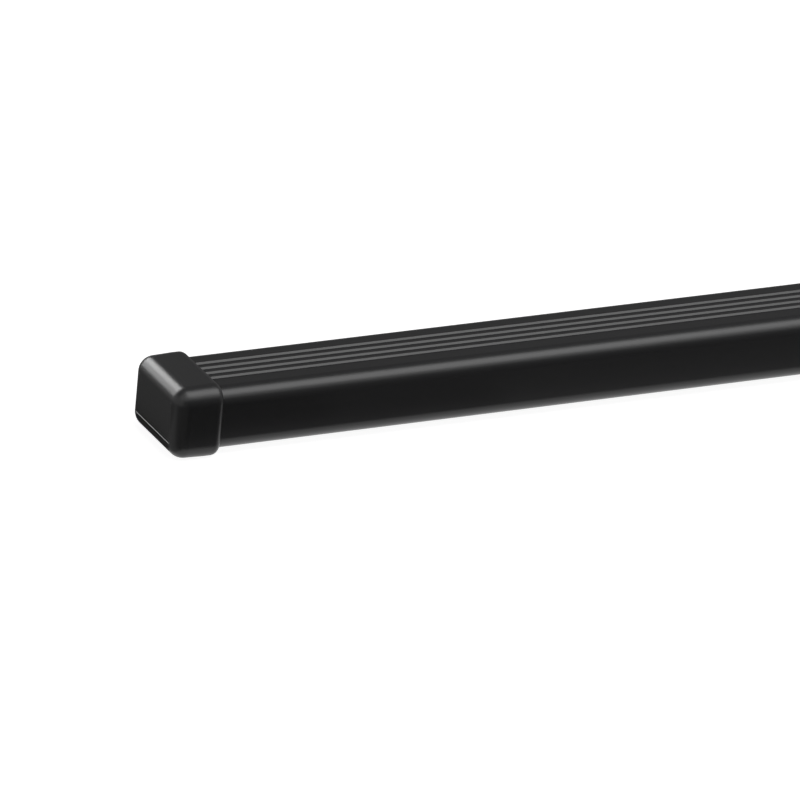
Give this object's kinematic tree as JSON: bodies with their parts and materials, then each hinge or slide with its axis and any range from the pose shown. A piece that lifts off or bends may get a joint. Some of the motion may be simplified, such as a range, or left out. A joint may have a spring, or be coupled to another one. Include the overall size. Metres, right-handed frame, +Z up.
{
  "type": "roof rack crossbar",
  "caption": "Rectangular roof rack load bar: a steel tube in a black ribbed-top polymer coating, closed at each end by a moulded push-on cap with a pull lip.",
  "frame": {"origin": "middle of the bar's length, in the centre of its outer section", "axes": "+X along the bar, +Y across it, +Z up through the grooved top"},
  "size_m": [1.187, 0.0356, 0.0254],
  "materials": {
    "tube_steel": "galvanised, dull spangle",
    "sheath_polymer": "extruded, satin black",
    "cap_polymer": "moulded, fine satin black"
  },
  "bodies": {
    "bar": {"core_tube": "tube_steel", "bar_sheath": "sheath_polymer"},
    "cap_left": {"end_cap_left": "cap_polymer"},
    "cap_right": {"end_cap_right": "cap_polymer"}
  },
  "joints": [
    {"name": "cap_left_pull", "type": "slide", "parent": "bar", "child": "cap_left", "axis": [-1, 0, 0], "range_m": [0, 0.03]},
    {"name": "cap_right_pull", "type": "slide", "parent": "bar", "child": "cap_right", "axis": [1, 0, 0], "range_m": [0, 0.03]}
  ]
}
